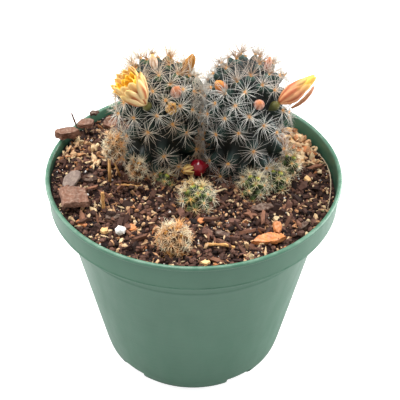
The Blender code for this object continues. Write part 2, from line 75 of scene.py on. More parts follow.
# %% Light
bpy.context.scene.view_settings.view_transform = "Standard"
surround = bpy.data.worlds.new("white_surround")
surround.use_nodes = True
surround.node_tree.nodes["Background"].inputs["Color"].default_value = (1.0, 1.0, 1.0, 1.0)
surround.node_tree.nodes["Background"].inputs["Strength"].default_value = 0.55
bpy.context.scene.world = surround


def softbox(name, place, side, power):
    """A square panel of light that faces the plant."""
    panel = bpy.data.objects.new(name, bpy.data.lights.new(name, "AREA"))
    bpy.context.scene.collection.objects.link(panel)
    panel.data.size = side
    panel.data.energy = power
    panel.visible_camera = False
    facing = (LOOK_AT - Vector(place)).to_track_quat("-Z", "Y").to_matrix().to_4x4()
    panel.matrix_world = Matrix.Translation(place) @ facing
    return panel


# Each has its place, its side in metres and its power in watts
softboxes = [
    softbox("panel_above", (-0.22, 0.14, 1.30), 1.0, 23.0),
    softbox("panel_right", (1.00, 0.42, 0.45), 0.9, 24.0),
    softbox("panel_left", (-1.00, 0.35, 0.45), 0.9, 11.0),
]
print(len(softboxes), "softboxes and a weak white surround")

# %% [markdown]
# ## Tools for materials
# A `Recipe` holds a material while it is mixed. It keeps the node calls short, so that what a finish is made of
# can be read at a glance. Effects that several finishes share are node groups, made once with their own sockets.


# %% The recipe helper
class Recipe:
    """A material, or a node group, while it is being mixed."""

    def __init__(self, tree):
        self.nodes = tree.nodes
        self.links = tree.links

    def node(self, kind, inputs=(), **settings):
        made = self.nodes.new(kind)
        for name, value in settings.items():
            setattr(made, name, value)
        for name, value in dict(inputs).items():
            if isinstance(value, bpy.types.NodeSocket):
                self.links.new(value, made.inputs[name])
            else:
                made.inputs[name].default_value = value
        return made

    def noise(self, place, scale, detail=4.0, rough=0.6):
        inputs = {"Vector": place, "Scale": scale, "Detail": detail, "Roughness": rough}
        return self.node("ShaderNodeTexNoise", inputs).outputs["Fac"]

    def stretch(self, place, scale):
        return self.node("ShaderNodeMapping", {"Vector": place, "Scale": scale}).outputs["Vector"]

    def math(self, operation, first, second=0.0):
        return self.node("ShaderNodeMath", {0: first, 1: second}, operation=operation).outputs[0]

    def spread(self, value, low, high, to_low=0.0, to_high=1.0):
        """The value, with low to high spread over to_low to to_high."""
        inputs = {"Value": value, "From Min": low, "From Max": high, "To Min": to_low, "To Max": to_high}
        return self.node("ShaderNodeMapRange", inputs).outputs["Result"]

    def mix(self, share, first, second, blend="MIX"):
        made = self.node("ShaderNodeMix", data_type="RGBA", blend_type=blend)
        for number, value in ((0, share), (6, first), (7, second)):
            if isinstance(value, bpy.types.NodeSocket):
                self.links.new(value, made.inputs[number])
            else:
                made.inputs[number].default_value = value
        return made.outputs[2]

    def attribute(self, name):
        return self.node("ShaderNodeAttribute", attribute_name=name).outputs["Fac"]

    def group(self, tree, **inputs):
        made = self.node("ShaderNodeGroup", node_tree=tree)
        for name, value in inputs.items():
            socket = made.inputs[name.replace("_", " ")]
            if isinstance(value, bpy.types.NodeSocket):
                self.links.new(value, socket)
            else:
                socket.default_value = value
        return made.outputs


def colour(red, green, blue):
    """A colour given as it looks, 0 to 255, turned into the linear light that shaders use."""
    linear = [(c / 255 / 12.92) if c <= 10 else ((c / 255 + 0.055) / 1.055) ** 2.4 for c in (red, green, blue)]
    return (*linear, 1.0)


class Finish(Recipe):
    """A material with one shader. Constants go straight on the shader's own sockets."""

    def __init__(self, name, **constants):
        self.material = bpy.data.materials.new(name)
        self.material.use_nodes = True
        super().__init__(self.material.node_tree)
        self.shader = self.nodes["Principled BSDF"]
        self.place = self.node("ShaderNodeTexCoord").outputs["Object"]
        for socket, value in constants.items():
            self.shader.inputs[socket.replace("_", " ")].default_value = value

    def into(self, socket, value):
        self.links.new(value, self.shader.inputs[socket])

    def bump(self, height, distance, strength=1.0):
        inputs = {"Height": height, "Distance": distance, "Strength": strength}
        self.into("Normal", self.node("ShaderNodeBump", inputs).outputs["Normal"])


# %% Shared effects
def new_group(name, inputs, outputs):
    """An empty node group with its sockets, as (tree, recipe, input node's outputs, output node's inputs)."""
    tree = bpy.data.node_groups.new(name, "ShaderNodeTree")
    kinds = {"v": "NodeSocketVector", "f": "NodeSocketFloat", "c": "NodeSocketColor"}
    for direction, sockets in (("INPUT", inputs), ("OUTPUT", outputs)):
        for socket, kind in sockets.items():
            tree.interface.new_socket(socket, in_out=direction, socket_type=kinds[kind])
    recipe = Recipe(tree)
    return tree, recipe, recipe.node("NodeGroupInput").outputs, recipe.node("NodeGroupOutput").inputs


def make_mottle():
    """Blotches of two colours over finer speckle, with the height to go with them."""
    inputs = {"Place": "v", "Scale": "f", "Dark": "c", "Light": "c", "Contrast": "f"}
    tree, recipe, given, out = new_group("mottle", inputs, {"Color": "c", "Height": "f"})
    coarse = recipe.noise(given["Place"], given["Scale"], 5.0)
    fine = recipe.noise(given["Place"], recipe.math("MULTIPLY", given["Scale"], 5.3), 3.0)
    both = recipe.math("ADD", recipe.math("MULTIPLY", coarse, 0.65), recipe.math("MULTIPLY", fine, 0.35))
    centred = recipe.math("MULTIPLY", recipe.math("SUBTRACT", both, 0.5), given["Contrast"])
    share = recipe.spread(centred, -0.5, 0.5)
    recipe.links.new(recipe.mix(share, given["Dark"], given["Light"]), out["Color"])
    recipe.links.new(both, out["Height"])
    return tree


def make_fibre():
    """Long fine fibres, as in wood, straw and bark. Stretch says how much finer they are across than along."""
    tree, recipe, given, out = new_group("fibre", {"Place": "v", "Scale": "f", "Stretch": "v"}, {"Height": "f"})
    along = recipe.stretch(given["Place"], given["Stretch"])
    threads = recipe.noise(along, given["Scale"], 6.0, 0.7)
    cracks = recipe.noise(along, recipe.math("MULTIPLY", given["Scale"], 0.35), 2.0)
    height = recipe.math("ADD", recipe.math("MULTIPLY", threads, 0.6), recipe.math("MULTIPLY", cracks, 0.4))
    recipe.links.new(height, out["Height"])
    return tree


def make_dust():
    """Pale dust that settles in patches on what faces up."""
    inputs = {"Color": "c", "Dust": "c", "Amount": "f", "Scale": "f", "Place": "v"}
    tree, recipe, given, out = new_group("dust", inputs, {"Color": "c"})
    facing = recipe.node("ShaderNodeSeparateXYZ", {0: recipe.node("ShaderNodeNewGeometry").outputs["Normal"]})
    patches = recipe.spread(recipe.noise(given["Place"], given["Scale"], 6.0), 0.42, 0.68)
    lying = recipe.math("MULTIPLY", recipe.spread(facing.outputs["Z"], 0.0, 1.0), patches)
    share = recipe.math("MULTIPLY", lying, given["Amount"])
    recipe.links.new(recipe.mix(share, given["Color"], given["Dust"]), out["Color"])
    return tree


MOTTLE, FIBRE, DUST = make_mottle(), make_fibre(), make_dust()
print("shared effects:", ", ".join(tree.name for tree in (MOTTLE, FIBRE, DUST)))

# %% [markdown]
# ## Tools for pieces
# Every new piece ends the same way: its mesh gets a material, it rides on the one body, and the CAD nodes that
# it stands for are hidden. Small things that repeat, such as spines and crumbs, are a few shapes scattered many
# times and joined, each copy with its own `tone` for the material to read.


# %% Finishing a piece
def settle(name, bm, finish, stands_for=(), crease=None):
    """Turns a bmesh into a finished piece of the model."""
    mesh = bpy.data.meshes.new(name)
    bm.to_mesh(mesh)
    bm.free()
    mesh.materials.append(finish.material)
    mesh.shade_smooth()
    if crease:
        mesh.set_sharp_from_angle(angle=math.radians(crease))
    piece = bpy.data.objects.new(name, mesh)
    bpy.context.scene.collection.objects.link(piece)
    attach(piece, "root")
    if stands_for:
        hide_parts(*stands_for)
    print(name, "-", sum(len(polygon.vertices) - 2 for polygon in mesh.polygons), "triangles")
    return piece


def new_shape():
    """A bmesh for a small shape, with the layers that its copies carry."""
    bm = bmesh.new()
    for layer in ("tone", "along", "central"):
        bm.verts.layers.float.new(layer)
    return bm


def shape_of(bm):
    mesh = bpy.data.meshes.new("shape")
    bm.to_mesh(mesh)
    bm.free()
    return mesh


def add_copy(bm, shape, matrix, tone=None):
    copy = shape.copy()
    copy.transform(matrix)
    if tone is not None:
        copy.attributes["tone"].data.foreach_set("value", [tone] * len(copy.vertices))
    bm.from_mesh(copy)
    bpy.data.meshes.remove(copy)


def scatter(name, shapes, copies, finish, stands_for=(), crease=None):
    """One piece made of many copies. Each copy is (shape number, matrix, tone)."""
    bm = bmesh.new()
    for number, matrix, tone in copies:
        add_copy(bm, shapes[number], matrix, tone)
    return settle(name, bm, finish, stands_for, crease)


def turned(profile, segments):
    """A body of revolution about Z, from (radius, height) points that start and end on the axis or close up."""
    bm = bmesh.new()
    points = [bm.verts.new((radius, 0.0, height)) for radius, height in profile]
    edges = [bm.edges.new(pair) for pair in zip(points, points[1:])]
    if profile[0][0] > 0.0:
        edges.append(bm.edges.new((points[-1], points[0])))
    bmesh.ops.spin(
        bm, geom=points + edges, axis=(0, 0, 1), cent=(0, 0, 0), angle=math.tau, steps=segments, use_merge=True
    )
    bmesh.ops.remove_doubles(bm, verts=bm.verts, dist=1e-6)
    bmesh.ops.recalc_face_normals(bm, faces=bm.faces)
    return bm


def aimed_at(place, direction, turn=0.0):
    """The matrix that stands a shape made along +Z on a place, along a direction."""
    way = Vector(direction).to_track_quat("Z", "Y").to_matrix().to_4x4()
    return Matrix.Translation(place) @ way @ Matrix.Rotation(turn, 4, "Z")


# %% [markdown]
# ## The floor
# White paper gives the pot something to stand on and takes a faint soft shadow. If the paper were as bright to the
# pot as it is to the camera, the light it throws up would wash out the green. It is a mid grey to every ray but
# the camera's, and glows for the camera.

# %% Floor
FLOOR_SIDE = 6.0

paper = Finish("white_paper", Roughness=0.9, Specular_IOR_Level=0.1, Emission_Color=(1.0, 1.0, 1.0, 1.0))
paper.into("Base Color", paper.mix(paper.noise(paper.place, 30.0), colour(196, 196, 196), colour(204, 204, 204)))
seen = paper.node("ShaderNodeLightPath").outputs["Is Camera Ray"]
paper.into("Emission Strength", paper.math("MULTIPLY", seen, 0.85))
paper.bump(paper.noise(paper.place, 900.0), 0.00005, 0.3)
bm = bmesh.new()
bmesh.ops.create_grid(bm, x_segments=1, y_segments=1, size=FLOOR_SIDE / 2)
floor_mesh = shape_of(bm)
floor_mesh.materials.append(paper.material)
floor = bpy.data.objects.new("floor", floor_mesh)
bpy.context.scene.collection.objects.link(floor)
print("a floor of", FLOOR_SIDE, "m")

# %% [markdown]
# ## The nursery pot
# The real pot is one thin moulding in soft green polypropylene. Its outline could be lofted from rings, but a
# turned profile is how its mould was cut, so one profile is spun round the axis. The drainage notches in the heel
# are then cut with the Boolean modifier, and the result is kept as a plain mesh.

# %% Pot sizes
pot_low, pot_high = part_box("nursery_pot")
RIM_RADIUS = (pot_high.x - pot_low.x) / 2
POT_HEIGHT = pot_high.z
FOOT_RADIUS = 0.031
WALL = 0.0012
LIP = 0.00085
COLLAR_FOOT = POT_HEIGHT - 0.0107
COLLAR_RADIUS = RIM_RADIUS - 0.0008
SHOULDER_RADIUS = COLLAR_RADIUS - 0.0046
SHOULDER_FOOT = COLLAR_FOOT - 0.0012
BORE_RADIUS = RIM_RADIUS - 2 * LIP
HEEL = 0.0095
SLOPE = 0.180
HEEL_ROUND = ((0.12, 0.03), (0.30, 0.10), (0.47, 0.20), (0.62, 0.32), (0.76, 0.46), (0.88, 0.62))
RING_Z = COLLAR_FOOT - 0.0080
RING_STEPS = ((0.0, 0.0), (0.0030, 0.00012), (0.0038, 0.00014), (0.0040, 0.00002), (0.0042, 0.0))
FLOOR_RECESS = 0.0020
POT_SEGMENTS = 180
NOTCHES, NOTCH_WIDTH, NOTCH_HEIGHT, FIRST_NOTCH = 5, 0.0115, 0.0072, 31.0


def wall_radius(height):
    """The pot's outer radius below its shoulder."""
    return SHOULDER_RADIUS - SLOPE * (SHOULDER_FOOT - height)


def rounded(corner, radius, start, end, steps=6):
    """Points of a round, its angles in degrees from the outside, anticlockwise."""
    turns = [math.radians(start + (end - start) * step / steps) for step in range(steps + 1)]
    return [(corner[0] + radius * math.cos(turn), corner[1] + radius * math.sin(turn)) for turn in turns]


# %% Pot finish
plastic = Finish("green_plastic", Roughness=0.40, IOR=1.46, Coat_Weight=0.10, Coat_Roughness=0.25)
wash = plastic.group(
    MOTTLE, Place=plastic.place, Scale=22.0, Dark=colour(60, 100, 80), Light=colour(74, 117, 95), Contrast=1.3
)
dusty = plastic.group(
    DUST, Color=wash["Color"], Dust=colour(150, 178, 158), Amount=0.30, Scale=260.0, Place=plastic.place
)
plastic.into("Base Color", dusty["Color"])
rubbed = plastic.noise(plastic.stretch(plastic.place, (1.0, 1.0, 0.25)), 140.0, 5.0)
plastic.into("Roughness", plastic.spread(rubbed, 0.3, 0.7, 0.33, 0.46))
grain = plastic.noise(plastic.stretch(plastic.place, (1.0, 1.0, 14.0)), 60.0, 3.0)
skin = plastic.noise(plastic.place, 1500.0, 2.0)
plastic.bump(plastic.math("ADD", grain, plastic.math("MULTIPLY", skin, 0.25)), 0.00006, 0.5)
print("pot finish mixed")


# %% Turn the pot
def pot_profile():
    heel_side = wall_radius(HEEL)
    outer = [(FOOT_RADIUS, 0.0)]
    outer += [
        (FOOT_RADIUS + share * (heel_side - FOOT_RADIUS), climb * HEEL)
        for share, climb in HEEL_ROUND
    ]
    outer += [(heel_side, HEEL), (wall_radius(0.03), 0.03), (wall_radius(0.05), 0.05)]
    for rise, proud in RING_STEPS:
        height = RING_Z + rise - 0.0034
        outer.append((wall_radius(height) + proud, height))
    outer += [(wall_radius(SHOULDER_FOOT - 0.0006), SHOULDER_FOOT - 0.0006)]
    outer += rounded((SHOULDER_RADIUS + 0.0006, SHOULDER_FOOT - 0.0004), 0.0006, 180.0, 90.0, 3)
    outer += rounded((COLLAR_RADIUS - 0.0006, COLLAR_FOOT + 0.0003), 0.0006, -70.0, 0.0, 4)
    outer += [(COLLAR_RADIUS, COLLAR_FOOT + 0.0006), (COLLAR_RADIUS - 0.00014, COLLAR_FOOT + 0.0008)]
    outer += [(RIM_RADIUS - 0.0007, POT_HEIGHT - 0.0030), (RIM_RADIUS - 0.0007, POT_HEIGHT - 0.0018)]
    outer += rounded((RIM_RADIUS - LIP, POT_HEIGHT - LIP), LIP, -50.0, 180.0, 12)
    inner = [
        (BORE_RADIUS, POT_HEIGHT - 0.0037),
        (BORE_RADIUS - 0.0001, COLLAR_FOOT + WALL),
        (SHOULDER_RADIUS - WALL, SHOULDER_FOOT - WALL),
        (wall_radius(0.03) - WALL, 0.03),
        (heel_side - WALL, HEEL),
        (FOOT_RADIUS + 0.6 * (heel_side - FOOT_RADIUS) - WALL, FLOOR_RECESS + WALL + 0.2 * HEEL),
        (FOOT_RADIUS - WALL, FLOOR_RECESS + WALL),
        (0.0, FLOOR_RECESS + WALL),
    ]
    under = [(0.0, FLOOR_RECESS), (FOOT_RADIUS - 0.0034, FLOOR_RECESS), (FOOT_RADIUS - 0.0030, 0.0)]
    return under + outer + inner


def notch_cutter():
    """All the drainage notches, as blocks through the heel."""
    bm = bmesh.new()
    for number in range(NOTCHES):
        block = bmesh.ops.create_cube(bm, size=1.0)["verts"]
        bmesh.ops.scale(bm, vec=(NOTCH_WIDTH, 0.012, 2 * NOTCH_HEIGHT), verts=block)
        bmesh.ops.translate(bm, vec=(0, -(FOOT_RADIUS + 0.002), 0), verts=block)
        turn = math.radians(FIRST_NOTCH + number * 360.0 / NOTCHES)
        bmesh.ops.rotate(bm, matrix=Matrix.Rotation(turn, 3, "Z"), verts=block)
    cutter = bpy.data.objects.new("notches", shape_of(bm))
    bpy.context.scene.collection.objects.link(cutter)
    return cutter


def keep_shape(piece):
    """Makes what a piece's modifiers show into its own mesh."""
    shown = piece.evaluated_get(bpy.context.evaluated_depsgraph_get())
    old, piece.data = piece.data, bpy.data.meshes.new_from_object(shown)
    piece.modifiers.clear()
    bpy.data.meshes.remove(old)


pot = settle("pot", turned(pot_profile(), POT_SEGMENTS), plastic, ["nursery_pot"])
cutter = notch_cutter()
cutting = pot.modifiers.new("notches", "BOOLEAN")
cutting.object = cutter
keep_shape(pot)
bpy.data.objects.remove(cutter)
pot.data.shade_smooth()
pot.data.set_sharp_from_angle(angle=math.radians(35.0))
print("pot with", NOTCHES, "notches has", len(pot.data.polygons), "faces")

# %% [markdown]
# ## The potting mix
# Cactus mix is dark peat with bark crumbs, pale wood and white perlite. One lumpy turned body fills the pot, and
# loose bits lie on it. Modelled bits throw real shadows, which a painted surface can't, so they are worth their
# triangles. Each kind is a handful of shapes with a few faces each.

# %% The bed
HEADSPACE = 0.0055
BED_TILT = 0.045
BED_RADIUS = BORE_RADIUS - 0.0003
BED_Z = POT_HEIGHT - HEADSPACE
BED_LUMPS = ((0.0012, 0.3, 190.0), (0.0007, 0.7, 560.0))


def on_plan(angle, distance):
    """A point of the plan, by its angle from the front in degrees and its distance from the middle."""
    turn = math.radians(angle)
    return Vector((distance * math.sin(turn), -distance * math.cos(turn)))


def bed(x, y):
    """The height of the bed, with its lumps."""
    lumps = sum(high * noise.noise(Vector((x, y, layer)) * fineness) for high, layer, fineness in BED_LUMPS)
    return BED_Z - BED_TILT * x + lumps


mix_finish = Finish("peat", Roughness=0.95, Specular_IOR_Level=0.25)
peat = mix_finish.group(
    MOTTLE, Place=mix_finish.place, Scale=420.0, Dark=colour(8, 5, 6), Light=colour(52, 32, 28), Contrast=3.2
)
mix_finish.into("Base Color", peat["Color"])
mix_finish.bump(peat["Height"], 0.0006, 0.9)

mix_side = [
    (0.0, FLOOR_RECESS + WALL + 0.0003),
    (FOOT_RADIUS - WALL - 0.0006, FLOOR_RECESS + WALL + 0.0003),
    (wall_radius(HEEL) - WALL - 0.0006, HEEL + 0.0006),
    (SHOULDER_RADIUS - WALL - 0.0006, SHOULDER_FOOT - WALL),
    (BED_RADIUS, COLLAR_FOOT + WALL + 0.0003),
]
BED_RINGS = 96
rings = [(BED_RADIUS * (1 - step / BED_RINGS), BED_Z) for step in range(BED_RINGS + 1)]
bm = turned(mix_side + rings, 300)
for vertex in bm.verts:
    if vertex.co.z > BED_Z - 1e-6:
        vertex.co.z = bed(vertex.co.x, vertex.co.y)
settle("peat_bed", bm, mix_finish, ["potting_mix"])


# %% Loose bits
def crumb(seed, stretch=(1.0, 1.0, 1.0)):
    """An angular crumb of about one unit across."""
    uneven = random.Random(seed)
    bm = new_shape()
    bmesh.ops.create_icosphere(bm, subdivisions=1, radius=0.5)
    for vertex in bm.verts:
        vertex.co *= uneven.uniform(0.7, 1.15)
    bmesh.ops.scale(bm, vec=stretch, verts=bm.verts)
    return shape_of(bm)


def flake(seed, sides, stretch):
    """A flat broken flake of about one unit across, tapered towards its ends."""
    uneven = random.Random(seed)
    bm = new_shape()
    bmesh.ops.create_cone(bm, cap_ends=True, segments=sides, radius1=0.5, radius2=0.42, depth=1.0)
    for vertex in bm.verts:
        vertex.co.x *= uneven.uniform(0.75, 1.15)
        vertex.co.y *= uneven.uniform(0.75, 1.15)
        vertex.co.z += uneven.uniform(-0.2, 0.2)
    bmesh.ops.scale(bm, vec=stretch, verts=bm.verts)
    return shape_of(bm)


def strewn(seed, count, sizes, lift=0.25, lean=0.5, around=(0.0, 360.0), inner=0.0, heap=0.0):
    """Places for loose bits, as (matrix, random share). around and inner bound the stretch of bed they lie on,
    and heap is how high they pile up in its middle."""
    uneven = random.Random(seed)
    found = []
    for _ in range(count):
        size = sizes[0] + (sizes[1] - sizes[0]) * uneven.random() ** 1.7
        distance = (BED_RADIUS - size / 2) * math.sqrt(uneven.uniform(inner, 1.0))
        angle = uneven.uniform(*around)
        place = on_plan(angle, distance)
        swell = math.sin(math.pi * (angle - around[0]) / (around[1] - around[0]))
        height = bed(place.x, place.y) + lift * size * uneven.random() + heap * swell * uneven.random()
        matrix = (
            Matrix.Translation((place.x, place.y, height))
            @ Matrix.Rotation(uneven.gauss(0, lean), 4, "X")
            @ Matrix.Rotation(uneven.gauss(0, lean), 4, "Y")
            @ Matrix.Rotation(uneven.uniform(0, math.tau), 4, "Z")
            @ Matrix.Scale(size, 4)
        )
        found.append((matrix, uneven.random()))
    return found


def strew(name, shapes, places, finish):
    copies = [(number % len(shapes), matrix, tone) for number, (matrix, tone) in enumerate(places)]
    return scatter(name, shapes, copies, finish, crease=25)


def bit_finish(name, dark, light, roughness=0.9, shine=0.3):
    """A finish whose every copy has its own shade between two colours, with fine fibres."""
    made = Finish(name, Roughness=roughness, Specular_IOR_Level=shine)
    base = made.mix(made.attribute("tone"), dark, light)
    threads = made.group(FIBRE, Place=made.place, Scale=900.0, Stretch=(1.0, 0.35, 1.0))
    shaded = made.mix(made.spread(threads["Height"], 0.35, 0.65, 0.0, 0.5), base, colour(24, 13, 12))
    made.into("Base Color", shaded)
    made.bump(threads["Height"], 0.0002, 0.7)
    return made


dark_bits = bit_finish("dark_bark_bits", colour(18, 10, 10), colour(122, 86, 72))
red_bits = bit_finish("red_bark_bits", colour(50, 28, 24), colour(150, 104, 80))
wood_bits = bit_finish("pale_wood_bits", colour(184, 116, 70), colour(246, 218, 172))
white_bits = bit_finish("perlite_bits", colour(214, 206, 196), colour(250, 248, 244))

crumbs = [crumb(seed) for seed in range(6)]
chunks = [crumb(seed, (1.0, 0.7, 0.45)) for seed in range(20, 26)]
splinters = [flake(seed, 4, (1.0, 0.20, 0.10)) for seed in range(6)]
flakes = [flake(seed, 5, (1.0, 0.62, 0.16)) for seed in range(10, 16)]
shreds = [flake(seed, 5, (1.0, 0.26, 0.12)) for seed in range(30, 36)]
strew("bark_crumbs", crumbs, strewn("crumbs", 5200, (0.0006, 0.0024), 0.35), dark_bits)
strew("bark_flakes", flakes, strewn("flakes", 560, (0.0018, 0.0062), 0.3, 0.6), dark_bits)
strew("bark_shreds", shreds, strewn("shreds", 420, (0.0024, 0.0085), 0.3, 0.4), red_bits)
strew("wood_chunks", chunks, strewn("chunks", 1900, (0.0006, 0.0022), 0.6, 0.8), wood_bits)
strew("wood_flakes", flakes, strewn("wood flakes", 620, (0.0010, 0.0038), 0.4, 0.7), wood_bits)
strew("wood_splinters", splinters, strewn("splinters", 420, (0.0012, 0.0052), 0.4, 0.5), wood_bits)
strew("perlite_specks", crumbs, strewn("perlite", 420, (0.0003, 0.0012), 0.8), white_bits)
right_heap = strewn("right heap", 210, (0.0014, 0.0050), 0.4, 0.7, (104.0, 134.0), 0.60, 0.0030)
left_heap = strewn("left heap", 90, (0.0012, 0.0044), 0.4, 0.7, (-118.0, -98.0), 0.45, 0.0016)
strew("wood_heaps", flakes + chunks, right_heap + left_heap, wood_bits)

# %% [markdown]
# ## Spines
# An areole is the felted spot at the tip of a nipple, and all its spines start there: about thirty fine white
# radials that lie out like a star, and a few stiffer golden centrals. Hair strands would render well but leave no
# mesh behind, so each spine is a three-sided taper, bent a little, and a star is made once and copied.


# %% One spine and one star
def spine(length, width, bend, wave, central):
    """A tapered spine along +Z that bends towards +X."""
    bm = new_shape()
    bmesh.ops.create_cone(bm, cap_ends=True, segments=3, radius1=width / 2, radius2=width / 8, depth=length)
    long_edges = [edge for edge in bm.edges if edge.calc_length() > length / 2]
    bmesh.ops.subdivide_edges(bm, edges=long_edges, cuts=2, use_grid_fill=True)
    bmesh.ops.translate(bm, vec=(0, 0, length / 2), verts=bm.verts)
    layers = bm.verts.layers.float
    for vertex in bm.verts:
        share = vertex.co.z / length
        vertex[layers["along"]] = share
        vertex[layers["central"]] = float(central)
        vertex.co.x += length * bend * share**2
        vertex.co.y += length * wave * math.sin(4.0 * share)
    return shape_of(bm)


def star(seed, reach, radials, centrals, climbs, width):
    """The spines of one areole, spread round +Z. climbs are the radials' angles above the skin."""
    uneven = random.Random(seed)
    bm = bmesh.new()
    for number in range(radials + centrals):
        central = number >= radials
        turn = math.tau * (number + uneven.uniform(-0.4, 0.4)) / (centrals if central else radials)
        climb = uneven.uniform(38.0, 84.0) if central else uneven.uniform(*climbs)
        length = reach * (uneven.uniform(0.6, 1.05) if central else uneven.uniform(0.6, 1.1))
        shape = spine(
            length, width * (1.35 if central else 1.0), uneven.uniform(-0.08, 0.26), uneven.gauss(0, 0.07), central
        )
        tilt = Matrix.Rotation(math.radians(90.0 - climb), 4, "Y")
        add_copy(bm, shape, Matrix.Rotation(turn, 4, "Z") @ tilt)
        bpy.data.meshes.remove(shape)
    return shape_of(bm)


# %% Spine and wool finishes
def spine_finish(name, fresh, old, base, tip):
    """Spines are coloured at the base, pale along their length, and darker at the tips of the centrals."""
    made = Finish(name, Roughness=0.42, Specular_IOR_Level=0.4)
    length_colour = made.mix(made.attribute("tone"), fresh, old)
    near_base = made.spread(made.attribute("along"), 0.02, 0.34, 1.0, 0.0)
    central = made.attribute("central")
    rooted = made.mix(
        made.math("MULTIPLY", near_base, made.spread(central, 0.0, 1.0, 0.55, 1.0)), length_colour, base
    )
    near_tip = made.spread(made.attribute("along"), 0.55, 1.0)
    tipped = made.mix(made.math("MULTIPLY", near_tip, made.math("MULTIPLY", central, 0.8)), rooted, tip)
    streaks = made.noise(made.place, 700.0, 2.0)
    made.into("Base Color", made.mix(made.spread(streaks, 0.3, 0.7, 0.0, 0.25), tipped, colour(190, 180, 165)))
    made.bump(streaks, 0.00003, 0.5)
    return made


white_spines = spine_finish(
    "white_spines", colour(240, 240, 228), colour(206, 164, 118), colour(232, 170, 78), colour(150, 100, 58)
)
grey_spines = spine_finish(
    "grey_spines", colour(236, 238, 232), colour(176, 142, 118), colour(226, 168, 84), colour(120, 84, 66)
)
cream_spines = spine_finish(
    "cream_spines", colour(250, 244, 214), colour(238, 200, 112), colour(226, 160, 60), colour(176, 110, 48)
)
golden_spines = spine_finish(
    "golden_spines", colour(252, 240, 206), colour(238, 166, 76), colour(220, 136, 50), colour(160, 88, 36)
)


def wool_finish(name, pale, deep):
    made = Finish(name, Roughness=0.95, Sheen_Weight=0.4)
    felt = made.group(MOTTLE, Place=made.place, Scale=1500.0, Dark=deep, Light=pale, Contrast=2.0)
    made.into("Base Color", felt["Color"])
    made.bump(felt["Height"], 0.0003, 0.8)
    return made


areole_wool = wool_finish("areole_wool", colour(244, 196, 104), colour(206, 118, 44))
print("spine finishes mixed")

# %% [markdown]
# ## Stems
# A nipple cactus has no ribs. Its green body is covered in conical nipples set in spirals, each new one a golden
# angle round from the last. The skin is a fine sphere pushed in between the nipples, which keeps it one closed
# surface, and the tips stay on the CAD solid, so the stem's size is the CAD's.

# %% Where the areoles are
GOLDEN_ANGLE = math.pi * (3.0 - math.sqrt(5.0))
LOWEST_SLOPE = math.radians(150.0)
SLOPE_STEP = 0.002
CROWN_WIDTH = 0.75
HEXAGON_ROWS = 0.866


def round_form(node):
    """The middle and half widths of a head's solid, and the height of its flat base."""
    low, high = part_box(node)
    widest = max(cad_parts[node].data.vertices, key=lambda vertex: vertex.co.x).co.z
    middle = Vector(((low.x + high.x) / 2, (low.y + high.y) / 2, widest))
    return middle, high - middle, low.z


def on_form(middle, half, out, fullness):
    """The skin point and the way out of a round form, in a direction from its middle. A fullness of 1 is an
    ellipsoid, and less squares its shoulders."""
    flat = max(1e-6, math.hypot(out[0], out[1]))
    sideways = flat ** (fullness - 1.0)
    up = math.copysign(abs(out[2]) ** fullness, out[2])
    skin = middle + Vector((out[0] * sideways * half[0], out[1] * sideways * half[1], up * half[2]))
    lean = flat ** (1.0 - fullness)
    rise = math.copysign(abs(out[2]) ** (2.0 - fullness), out[2])
    return skin, Vector((out[0] * lean / half[0], out[1] * lean / half[1], rise / half[2])).normalized()


def areoles(middle, half, spacing, crowding, fullness):
    """Areoles from the crown down, as (place, way out, youth). Youth is 1 at the crown."""
    found = []
    grown, slope = 0.5, 0.0
    while slope < LOWEST_SLOPE:
        slope += SLOPE_STEP
        youth = math.exp(-((slope / CROWN_WIDTH) ** 2))
        gap = spacing * (1.0 - crowding * youth)
        run = SLOPE_STEP * math.hypot(math.cos(slope) * half.x, math.sin(slope) * half.z)
        grown += math.tau * math.sin(slope) * half.x * run / (HEXAGON_ROWS * gap**2)
        if grown >= len(found) + 1:
            turn = GOLDEN_ANGLE * len(found)
            out = Vector((math.sin(slope) * math.cos(turn), math.sin(slope) * math.sin(turn), math.cos(slope)))
            found.append((*on_form(middle, half, out, fullness), youth))
    return found


# %% Skin
NIPPLE_REACH = 0.60
NIPPLE_POINT = 0.85
CROWN_FLATTENING = 0.60


def nippled_skin(middle, half, floor_z, spots, habit):
    """A closed round skin, pushed in by depth between the areoles, flat at its base."""
    tree = kdtree.KDTree(len(spots))
    for number, (place, _, _) in enumerate(spots):
        tree.insert(place, number)
    tree.balance()
    bm = bmesh.new()
    bmesh.ops.create_uvsphere(bm, u_segments=habit.columns, v_segments=int(habit.columns * 0.62), radius=1.0)
    rise, young = bm.verts.layers.float.new("rise"), bm.verts.layers.float.new("young")
    for vertex in bm.verts:
        skin, normal = on_form(middle, half, vertex.co, habit.fullness)
        _, number, distance = tree.find(skin)
        youth = spots[number][2]
        reach = NIPPLE_REACH * habit.spacing * (1.0 - habit.crowding * youth)
        share = min(1.0, distance / reach)
        # rise is the nipple's height. The skin finish also reads it to lay painted shade in the valleys between
        # nipples.
        vertex[rise] = (0.5 + 0.5 * math.cos(math.pi * share)) ** NIPPLE_POINT
        vertex[young] = youth
        vertex.co = skin - normal * habit.depth * (1.0 - CROWN_FLATTENING * youth) * (1.0 - vertex[rise])
    whole = bm.verts[:] + bm.edges[:] + bm.faces[:]
    bmesh.ops.bisect_plane(
        bm, geom=whole, dist=1e-7, plane_co=(0, 0, floor_z), plane_no=(0, 0, 1), clear_inner=True
    )
    bmesh.ops.holes_fill(bm, edges=[edge for edge in bm.edges if edge.is_boundary], sides=0)
    bmesh.ops.recalc_face_normals(bm, faces=bm.faces)
    return bm


